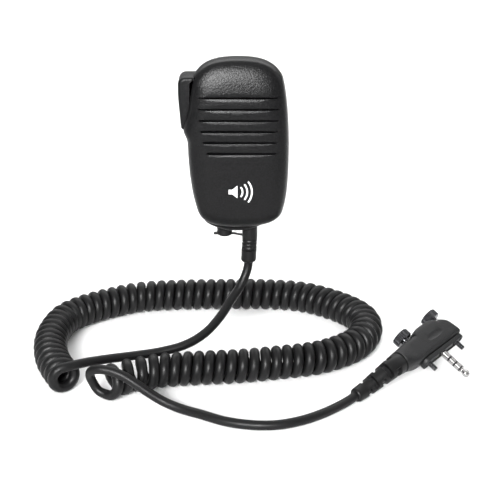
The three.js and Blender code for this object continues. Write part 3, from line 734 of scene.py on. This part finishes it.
def on_clip_axis(rings):
    return [ring + (0, CLIP_PIN_Y, CLIP_PIN_Z) for ring in along_x(rings)]


def pin_bore():
    return mesh_piece("tool", on_clip_axis(round_tool(1.3, -20, 20)))


plate_outline = rounded_rectangle(0, -3, 11, 22, 4)
plate_rings = along_y(rounded_plate(plate_outline, PLATE_FRONT_Y, PLATE_REAR_Y, 0.5))
clip_plate = mesh_piece("belt_clip_plate", plate_rings, SATIN)
carve(clip_plate, ears(8.2, 9.8, PLATE_REAR_Y - 0.5, CLIP_PIN_Y + 3), "UNION")
carve(clip_plate, [pin_bore(), mesh_piece("tool", along_y(round_tool(2.6, -14, -9)))])
dress(clip_plate, "clip_swivel", "satin_black", "clip_plate")

lever_outline = rounded_rectangle(0, 1.5, 9.2, 24.5, 4)
clip_lever = mesh_piece("belt_clip_lever", along_y(rounded_plate(lever_outline, -2, 0, 0.7)), SATIN)
toe_outline = rounded_rectangle(-5.4, -21.7, 4.3, 1.1, 0.6)
toe = mesh_piece("tool", along_x(rounded_plate(toe_outline, -8, 8, 0.4)))
carve(clip_lever, [toe, *ears(5.6, 7.4, CLIP_PIN_Y - 2.2, -1)], "UNION")
GRIP_RIBS = 6
rib_cuts = [block((-6.5, -0.45, 15.6 + i * 1.5), (6.5, 1, 16.3 + i * 1.5)) for i in range(GRIP_RIBS)]
TEETH = 7
tooth_cuts = [block((-7 + i * 2.2, -10.5, -24), (-6 + i * 2.2, -8.9, -19)) for i in range(TEETH)]
carve(clip_lever, [pin_bore(), *rib_cuts, *tooth_cuts])
dress(clip_lever, "clip_jaw", "satin_black", "clip_lever")

clip_pin = mesh_piece("belt_clip_pin", on_clip_axis(turned(disc(1, -9.9, 9.9, 0.25), 40)), STEEL)
dress(clip_pin, "clip_swivel", "steel", "clip_pin")

washer_outline = [(2.7, -12.6), (2.9, -12.7), (6.8, -12.7), (7, -12.5)]
washer_outline += [(7, -12.3), (6.8, -12.1), (2.9, -12.1), (2.7, -12.2)]
swivel_washer = mesh_piece("swivel_friction_washer", along_y(turned(washer_outline, 64)), NICKEL, loop=True)
dress(swivel_washer, "microphone", "nickel", "swivel_washer")
SWIVEL_FACE_Y = -8.2
swivel_head = [(0, -18), (2.2, -18), (2.2, -9.7), (4.2, -9.7), (4.4, -9.5)]
swivel_head += [(4.4, -9.1), (4.0, -8.5), (3, -8.25), (0, SWIVEL_FACE_Y)]
cross_screw("swivel_screw", "clip_swivel_screw", swivel_head, 0, 0, SWIVEL_FACE_Y, "microphone", 2.2)

SPRING_TURNS = 7
SPRING_RADIUS = 2.0
SPRING_WIRE = 0.45
SPRING_HALF_LENGTH = 4.1
turn_angle = np.linspace(0, 2 * math.pi * SPRING_TURNS, SPRING_TURNS * 24 + 1)
spring_route = np.column_stack(
    [
        np.linspace(-SPRING_HALF_LENGTH, SPRING_HALF_LENGTH, len(turn_angle)),
        CLIP_PIN_Y + SPRING_RADIUS * np.sin(turn_angle),
        CLIP_PIN_Z - SPRING_RADIUS * np.cos(turn_angle),
    ]
)
first_leg = (-SPRING_HALF_LENGTH, CLIP_PIN_Y + 0.2, CLIP_PIN_Z - 8)
last_leg = (SPRING_HALF_LENGTH, CLIP_PIN_Y - 0.2, CLIP_PIN_Z - 8)


def wire(name, route, radius, finish, smooth_turns=5):
    """A curve piece of round section along a route in millimetres."""
    data = bpy.data.curves.new(name, "CURVE")
    data.dimensions = "3D"
    data.bevel_depth = radius * MM
    data.bevel_resolution = smooth_turns
    data.use_fill_caps = True
    spline = data.splines.new("POLY")
    spline.points.add(len(route) - 1)
    for point, place in zip(spline.points, route):
        point.co = (*(np.asarray(place) * MM), 1)
    spline.use_smooth = True
    data.materials.append(finish)
    return link(name, data)


spring = wire("torsion_spring", np.vstack([first_leg, spring_route, last_leg]), SPRING_WIRE, STEEL, 3)
dress(spring, "clip_swivel", "steel", "clip_spring")

# ---- A plain speaker sign, printed in white on the lower front ----
PRINT_FRONT = FRONT_Y - 0.04
PRINT_REAR = FRONT_Y + 0.3
SIGN_X = -1.8
SIGN_Z = -21.8


def print_shape(outline):
    rings = along_y(stacked(np.asarray(outline), [(0, PRINT_FRONT), (0, PRINT_REAR)]))
    return dress(mesh_piece("print", rings, PRINT), "microphone", "shell")


def arc(radius, angles):
    return [(SIGN_X + radius * math.cos(t), SIGN_Z + radius * math.sin(t)) for t in angles]


def arc_band(radius, half_width, half_angle):
    angles = np.radians(np.linspace(-half_angle, half_angle, 25))
    return arc(radius + half_width, angles) + arc(radius - half_width, angles)[::-1]


SPEAKER_SIGN = [(-2.6, -1.1), (-0.9, -1.1), (1.5, -3.1), (1.5, 3.1), (-0.9, 1.1), (-2.6, 1.1)]
signs = [print_shape([(SIGN_X + a, SIGN_Z + b) for a, b in SPEAKER_SIGN])]
signs += [print_shape(arc_band(radius, 0.38, 38)) for radius in (3.9, 6.1, 8.3)]
for number, sign in enumerate(signs, 1):
    sign.name = f"sign_{number}"

# ---- Plug housing ----
FACE_Y = 1.8
HALF_THICKNESS = 4.8
BODY_FROM = -17  # where the round neck has become the flat body
END_X = 16.8
END_ROUNDING = 1.6
END_SLANT = 0.173  # slope of the end face
SECTION_SIDES = 112


def housing_low(x):
    return NECK_Y - NECK_RADIUS + (FACE_Y - NECK_Y + NECK_RADIUS) * ease((x - NECK_X) / 10)


def housing_high(x):
    hump = max(0.0, 1 - abs((x - 0.2) / 9) ** 3.2) ** 0.6
    corner = max(0.0, (x - 11.5) / 4.3)
    return NECK_Y + NECK_RADIUS - 0.2 * ease((x - 4) / 6) + 2.6 * hump - 2.4 * min(corner, 1.2) ** 2.5


def housing_ring(x, inset):
    """A section of the housing: round at the neck, a rounded box along the body."""
    squarer = ease((x - NECK_X - 0.5) / (BODY_FROM - NECK_X))
    power = 2 / (2 + 3.4 * squarer)
    low = housing_low(x) + inset
    high = housing_high(x) - inset
    half_z = NECK_RADIUS + (HALF_THICKNESS - NECK_RADIUS) * squarer - inset
    angle = np.linspace(0, 2 * math.pi, SECTION_SIDES, endpoint=False)
    cos = np.cos(angle)
    sin = np.sin(angle)
    y = (low + high) / 2 + (high - low) / 2 * np.sign(cos) * np.abs(cos) ** power
    z = half_z * np.sign(sin) * np.abs(sin) ** power
    slant = END_SLANT * (y - 2.8) * ease((x - 8) / 7)
    return np.column_stack([x - slant, y, z])


def plug_housing():
    stations = [(x, 0.0) for x in np.linspace(NECK_X + 0.45, BODY_FROM, 40, endpoint=False)]
    stations += [(x, 0.0) for x in np.linspace(BODY_FROM, END_X - END_ROUNDING, 120)]
    for angle in np.linspace(0, math.pi / 2, 9)[1:]:
        inset = END_ROUNDING * (1 - math.cos(angle))
        stations.append((END_X - END_ROUNDING * (1 - math.sin(angle)), inset))
    stations.insert(0, (NECK_X + 0.3, 0.15))
    housing = mesh_piece("plug_body", in_plug([housing_ring(x, inset) for x, inset in stations]), PLUG_GREY)
    tools = []
    for side in (-1, 1):
        groove = rounded_rectangle(0.6, FACE_Y + 1.5, 16.2, 0.24, 0.2)
        depth = sorted((side * (HALF_THICKNESS - 0.45), side * (HALF_THICKNESS + 1)))
        tools.append(mesh_piece("tool", in_plug(stacked(groove, [(0, depth[0]), (0, depth[1])]))))
    dimple = turned([(math.sin(t), -math.cos(t)) for t in np.linspace(0, math.pi, 17)], 48)
    dimple = [ring * (6.6, 2.0, 0.85) + (0.7, 8.1, HALF_THICKNESS + 0.35) for ring in dimple]
    tools.append(mesh_piece("tool", in_plug(dimple)))
    for x in (-SCREW_HALF_SPACING, SCREW_HALF_SPACING):
        tools.append(mesh_piece("tool", in_plug(along_y(round_tool(1.7, -10, 30), x))))
    carve(housing, tools)
    return dress(housing, "microphone", "plug_grey", "plug_housing")


plug_housing()

# ---- Oval insert that carries the pin ----
INSERT_X = 0.4
RIM_TOP = -0.6
RIM_STEPS = [(0, FACE_Y - 0.3), (0, -0.3), (0.1, -0.48), (0.3, RIM_TOP)]
RIM_STEPS += [(0.85, RIM_TOP), (1.0, -0.45), (1.05, 0)]
insert_outline = rounded_rectangle(INSERT_X, 0, 16.4, 3.75, 3.7)
insert = mesh_piece("plug_face", in_plug(along_y(stacked(insert_outline, RIM_STEPS))), PLUG_GREY)
seat = [(0, -3), (2.5, -3), (2.5, 0.25), (2.0, 0.25), (2.0, 0.7), (0, 0.7)]
insert_tools = [mesh_piece("tool", in_plug(along_y(turned(seat, 48))))]
screw_seat = [(0, -3), (2.5, -3), (2.5, 0.9), (1.7, 0.9), (1.7, 6), (0, 6)]
for x in (-SCREW_HALF_SPACING, SCREW_HALF_SPACING):
    insert_tools.append(mesh_piece("tool", in_plug(along_y(turned(screw_seat, 48), x))))
carve(insert, insert_tools)
dress(insert, "microphone", "satin_black", "plug_insert")

# ---- Four-pole pin ----
PIN_STEPS = [0.4, -4.4, -8, -11.4]
INSULATOR = 0.5
HAIR = 0.1
TIP_START = PIN_STEPS[3] - 2 * HAIR - INSULATOR


def pin_piece(name, node, profile, finish, slot):
    return dress(mesh_piece(name, in_plug(along_y(turned(profile, 56))), finish), "microphone", slot, node)


pin_piece("pin_sleeve", "plug_sleeve", disc(PIN_RADIUS, PIN_STEPS[1], PIN_STEPS[0]), NICKEL, "nickel")
for number in (1, 2, 3):
    top = PIN_STEPS[number] - HAIR
    insulator = disc(PIN_RADIUS - 0.08, top - INSULATOR - HAIR, top + HAIR, 0.02)
    pin_piece(f"pin_insulator_{number}", f"plug_insulator_{number}", insulator, SATIN, "satin_black")
    if number < 3:
        band = disc(PIN_RADIUS, PIN_STEPS[number + 1], top - INSULATOR - HAIR)
        pin_piece(f"pin_ring_{number}", f"plug_ring_{number}", band, NICKEL, "nickel")
tip_curve = [(PIN_RADIUS, TIP_START - 0.4), (1.2, -12.7), (1.17, -13.2)]
tip_curve += [(PIN_RADIUS, -14.9), (1.3, -16.4), (0.75, -16.95)]
tip_profile = [(0, TIP_START), (PIN_RADIUS - 0.1, TIP_START), *smooth_route(tip_curve, 6)]
tip_profile.append((0, -PIN_LENGTH))
pin_piece("pin_tip", "plug_tip", tip_profile, NICKEL, "nickel")

# ---- Captive thumb screws ----
KNURLS = 30
HEAD_RADIUS = 4.5
HEAD_FROM = 15.4
HEAD_TO = 19.4
THREAD_PITCH = 0.5
SHANK_RADIUS = 1.25


def knurl_and_thread(height, angle):
    if HEAD_FROM + 0.35 < height < HEAD_TO - 0.35:
        return 0.18 * np.cos(KNURLS * angle) - 0.1
    if -4.6 < height < -0.2:
        return 0.09 * np.sin(2 * math.pi * height / THREAD_PITCH - angle) - 0.05
    return 0 * angle


screw_profile = [(0, -5), (0.9, -5), (1.1, -4.7)]
screw_profile += [(SHANK_RADIUS, height) for height in np.arange(-4.6, -0.1, 0.08)]
screw_profile += [(SHANK_RADIUS, 14.35), (2.1, 14.35), (2.2, 14.5), (2.2, HEAD_FROM), (4.1, HEAD_FROM)]
screw_profile += [(HEAD_RADIUS - 0.1, HEAD_FROM + 0.3), (HEAD_RADIUS, HEAD_FROM + 0.4)]
screw_profile += [(HEAD_RADIUS, HEAD_TO - 0.4), (HEAD_RADIUS - 0.1, HEAD_TO - 0.3), (4.1, HEAD_TO)]
screw_profile += [(3.2, HEAD_TO), (3.0, HEAD_TO - 0.15), (0, HEAD_TO - 0.15)]
ring_profile = [(1.45, 13.95), (1.5, 13.9), (2.8, 13.9), (2.9, 14)]
ring_profile += [(2.9, 14.1), (2.8, 14.2), (1.5, 14.2), (1.45, 14.15)]
for name, x in (("near", -SCREW_HALF_SPACING), ("far", SCREW_HALF_SPACING)):
    rings = turned(screw_profile, 6 * KNURLS, knurl_and_thread)
    screw = mesh_piece(name + "_knurled_screw", in_plug(along_y(rings, x)), DARK_METAL)
    slot_corners = [(x - 6, -0.5), (x + 6, -0.5), (x + 6, 0.5), (x - 6, 0.5)]
    driver_slot = [np.array([(a, y, b) for a, b in slot_corners]) for y in (HEAD_TO - 0.8, HEAD_TO + 0.6)]
    carve(screw, [mesh_piece("tool", in_plug(driver_slot))])
    dress(screw, name + "_screw", "dark_metal", name + "_thumb_screw")
    rings = in_plug(along_y(turned(ring_profile, 56), x))
    washer = mesh_piece(name + "_retaining_washer", rings, NICKEL, loop=True)
    dress(washer, name + "_washer", "nickel", name + "_screw_washer")

# ---- Segmented strain relief of the plug ----
BOOT_TAIL = (58.2, -77.5, -104.9)
CORD_END = (54.1, -81.2, -105.7)
BOOT_END_RADIUS = 3.4
WINDOW_ROWS = [0.19, 0.33, 0.47, 0.61, 0.75]
WINDOW_HALF_WIDTH = 1.05
WINDOW_DEPTH = 1.5
NECK_GROOVE = 0.9
NECK_GROOVE_DEPTH = 0.9


def plug_boot():
    neck = in_plug([np.array([(NECK_X, NECK_Y, 0), (NECK_X - 6, NECK_Y, 0)])])[0]
    route = resample(smooth_route([*neck, BOOT_TAIL, CORD_END], 40), 261)
    along = lengths_along(route)
    tangent = np.gradient(route, axis=0)
    tangent /= np.linalg.norm(tangent, axis=1)[:, None]
    up = PLUG_TURN[:, 2]
    side = np.cross(tangent, up)
    side /= np.linalg.norm(side, axis=1)[:, None]
    over = np.cross(side, tangent)
    angle = np.linspace(-math.pi, math.pi, 96, endpoint=False)
    rings = []
    for i, (centre, distance) in enumerate(zip(route, along)):
        share = distance / along[-1]
        radius = NECK_RADIUS + (BOOT_END_RADIUS - NECK_RADIUS) * share**0.9
        to_end = along[-1] - distance
        if to_end < 1.2:
            radius -= 1.0 * (1 - math.sqrt(1 - (1 - to_end / 1.2) ** 2))
        if distance < NECK_GROOVE:
            radius -= NECK_GROOVE_DEPTH
        reach = np.full(len(angle), radius)
        for row, place in enumerate(WINDOW_ROWS):
            from_row = abs(distance - place * along[-1])
            half_span = math.radians(62 if row % 2 else 48)
            middle = 0 if row % 2 else math.pi / 2
            from_middle = np.abs((angle - middle + math.pi / 2) % math.pi - math.pi / 2)
            window = ease((half_span - from_middle) / 0.12 + 0.5)
            reach -= WINDOW_DEPTH * window * float(ease((WINDOW_HALF_WIDTH - from_row) / 0.3 + 0.5))
        upward = over[i] * (reach * np.cos(angle))[:, None]
        outward = side[i] * (reach * np.sin(angle))[:, None]
        rings.append(centre + upward + outward)
    plugged_in = rings[0] + (rings[0].mean(axis=0) - rings[0]) * 0.12
    inside = plugged_in + in_plug([np.array([(0.9, 0, 0)])])[0] - PLUG_POSITION
    boot = mesh_piece("plug_strain_relief", [inside, plugged_in, *rings[2:]], RUBBER)
    return dress(boot, "microphone", "soft_rubber", "plug_boot")


plug_boot()

# ---- Camera, at the photograph's angle ----
camera_data = bpy.data.cameras.new("camera")
camera_data.lens = 82.7
camera_data.sensor_width = 36
camera_data.clip_end = 20
camera = link("camera", camera_data)
camera.location = Vector((5.6, -542.5, 163.3)) * MM
camera.rotation_euler = (math.radians(90 - 23), 0, 0)
bpy.context.scene.camera = camera

# ---- Cord ----
MIC_LEAD = [
    (BOOT_X - BOOT_LEAN, INLET_Y, BOOT_BOTTOM + 1.5),
    (4.6, -20.1, -67),
    (3.3, -21.4, -71.4),
    (0.5, -24.4, -76.6),
    (-3.6, -29, -81.2),
    (-9.4, -37, -87.4),
    (-16.6, -44.6, -92.2),
    (-26, -50, -95.6),
    (-38, -53.6, -97.4),
    (-50, -57.4, -97.4),
    (-59, -61.4, -96.6),
    (-66, -65.8, -95.4),
    (-73, -70, -94.7),
]
COIL_AXIS = [
    (-80.3, -73.6),
    (-88, -58),
    (-92.1, -43.4),
    (-93, -28),
    (-88.9, -10.4),
    (-79.2, 0.4),
    (-66.2, 8.8),
    (-53.4, 14.9),
    (-32, 17.8),
    (-10.6, 18.6),
    (11, 18.6),
    (32.5, 15.4),
    (46.5, 7.6),
    (57.8, -2.9),
    (63.5, -12.4),
    (64.4, -23),
    (61, -34),
    (54.6, -42.6),
    (39.3, -52.8),
    (19.9, -58),
    (0.8, -61.6),
    (-18, -63.6),
    (-36.9, -66),
    (-47.5, -69.8),
    (-54.8, -73.4),
    (-60.6, -78.6),
]
PLUG_LEAD = [
    (-64.6, -77.2, -105.2),
    (-67.0, -76.4, -101.8),
    (-68.2, -77.0, -97.4),
    (-67.2, -79.0, -93.8),
    (-63.6, -80.6, -92.0),
    (-58.2, -81.8, -92.2),
    (-52.6, -83.2, -93.8),
    (-47.2, -84.8, -96.6),
    (-40.4, -86.4, -101),
    (-33.4, -88.0, -104.8),
    (-25.4, -91.0, LYING),
    (-16.4, -95.8, LYING),
    (-5.5, -101.6, LYING),
    (5.6, -104.6, LYING),
    (16.7, -104.8, LYING),
    (27.7, -101.4, LYING),
    (38.6, -94.8, LYING),
    (46.6, -88, LYING),
    (50.5, -84.5, -106.4),
    (53.8, -81.5, -105.8),
    (56.4, -79.1, -105.2),
]
TIGHT_PITCH = 5.3
LOOSE_PITCH = 8.4
LOOSE_FROM = 0.93  # share of the coil's length after which its turns open up
POINTS_PER_TURN = 28
COIL_THICKENING = 1.14  # the curly part is a little thicker than the leads
THICKENING_SPAN = 24  # points of the cord over which it gets thicker


def helix(axis_points, radius):
    """The cord's left-handed turns about a level axis, from the top of the first turn to the
    bottom of the last one."""
    flat = [(x, y, SURFACE_Z + COIL_RADIUS) for x, y in axis_points]
    axis = resample(smooth_route(flat, 20), 4000)
    along = lengths_along(axis)
    share = along / along[-1]
    opening = np.clip((share - LOOSE_FROM) / (1 - LOOSE_FROM), 0, 1)
    pitch = TIGHT_PITCH + (LOOSE_PITCH - TIGHT_PITCH) * opening
    turns = np.concatenate([[0], np.cumsum(np.diff(along) / pitch[1:])])
    count = round(turns[-1] - 0.5) + 0.5
    turns *= count / turns[-1]
    wanted = np.linspace(0, count, round(count * POINTS_PER_TURN) + 1)
    centre = np.column_stack([np.interp(wanted, turns, axis[:, k]) for k in range(3)])
    tangent = np.gradient(centre, axis=0)
    tangent /= np.linalg.norm(tangent, axis=1)[:, None]
    sideways = np.cross(tangent, (0, 0, 1))
    angle = (wanted * 2 * math.pi)[:, None]
    return centre + radius * (np.array((0, 0, 1)) * np.cos(angle) - sideways * np.sin(angle)), count


coil, turn_count = helix(COIL_AXIS, COIL_RADIUS - CORD_RADIUS * COIL_THICKENING)
first = smooth_route([*MIC_LEAD, coil[0], coil[2], coil[4]], 10)[: 10 * len(MIC_LEAD)]
last = smooth_route([coil[-5], coil[-3], coil[-1], *PLUG_LEAD], 10)[20:]
cord_route = np.vstack([first, coil[:-1], last])
cord = wire("cord", cord_route, CORD_RADIUS, JACKET)
for index, point in enumerate(cord.data.splines[0].points):
    from_ends = min(index - len(first), len(first) + len(coil) - index)
    into_coil = (from_ends + THICKENING_SPAN / 2) / THICKENING_SPAN
    point.radius = 1 + (COIL_THICKENING - 1) * float(ease(into_coil))
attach(cord, "microphone")
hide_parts("cord_lead_mic", "cord_coil", "cord_lead_plug")
ON_THE_CORD = ["plug_body", "plug_face", "plug_strain_relief", "pin_sleeve", "pin_tip"]
ON_THE_CORD += ["pin_ring_1", "pin_ring_2", "pin_insulator_1", "pin_insulator_2", "pin_insulator_3"]
ON_THE_CORD += ["near_knurled_screw", "far_knurled_screw", "near_retaining_washer", "far_retaining_washer"]

# ---- Floor and light ----
FLOOR_HALF_SIZE = 2.6  # metres
floor_mesh = bpy.data.meshes.new("floor")
floor_corners = [(i * FLOOR_HALF_SIZE, j * FLOOR_HALF_SIZE) for i, j in ((-1, -1), (1, -1), (1, 1), (-1, 1))]
floor_mesh.from_pydata([(x, y, SURFACE_Z * MM) for x, y in floor_corners], [], [(0, 1, 2, 3)])
PALE_FLOOR = grained(new_material("pale_floor", (0.88, 0.88, 0.88), 0.9, specular=0.1), 3, 0.01, 0.01)
floor_mesh.materials.append(PALE_FLOOR)
link("floor", floor_mesh)


def softbox(name, place, aim, size, power, spread=180):
    light = bpy.data.lights.new(name, "AREA")
    light.shape = "RECTANGLE"
    light.size, light.size_y = size
    light.energy = power
    light.spread = math.radians(spread)
    lamp = link(name, light)
    lamp.location = place
    lamp.rotation_euler = (Vector(aim) - Vector(place)).to_track_quat("-Z", "Y").to_euler()
    return lamp


AIM = (0, -0.03, -0.03)
softbox("top_softbox", (0.0, 0.1, 1.0), (0, 0.1, 0), (1.6, 1.1), 3.5)
softbox("back_softbox", (0.0, 1.15, 0.9), (0, 1.0, 0), (2.4, 1.0), 22)
softbox("key_softbox", (-0.2, -0.9, 0.45), (0, -0.03, 0.015), (0.45, 0.55), 2.1, 36)
softbox("right_softbox", (0.9, 0.1, 0.5), AIM, (0.3, 0.7), 1.5)

# The sky is a little darker towards the horizon than overhead.
world = bpy.data.worlds.new("studio")
world.use_nodes = True
sky_nodes = world.node_tree.nodes
sky_links = world.node_tree.links
direction = sky_nodes.new("ShaderNodeTexCoord")
split = sky_nodes.new("ShaderNodeSeparateXYZ")
sky_links.new(direction.outputs["Generated"], split.inputs["Vector"])
sky = sky_nodes.new("ShaderNodeValToRGB")
sky.color_ramp.elements[0].position = 0.0
sky.color_ramp.elements[0].color = (0.85, 0.85, 0.86, 1)
sky.color_ramp.elements[1].position = 0.9
sky.color_ramp.elements[1].color = (1, 1, 1, 1)
sky_links.new(split.outputs["Z"], sky.inputs["Fac"])
background = sky_nodes["Background"]
sky_links.new(sky.outputs["Color"], background.inputs["Color"])
background.inputs["Strength"].default_value = 0.4
bpy.context.scene.world = world
bpy.context.scene.view_settings.view_transform = "Standard"
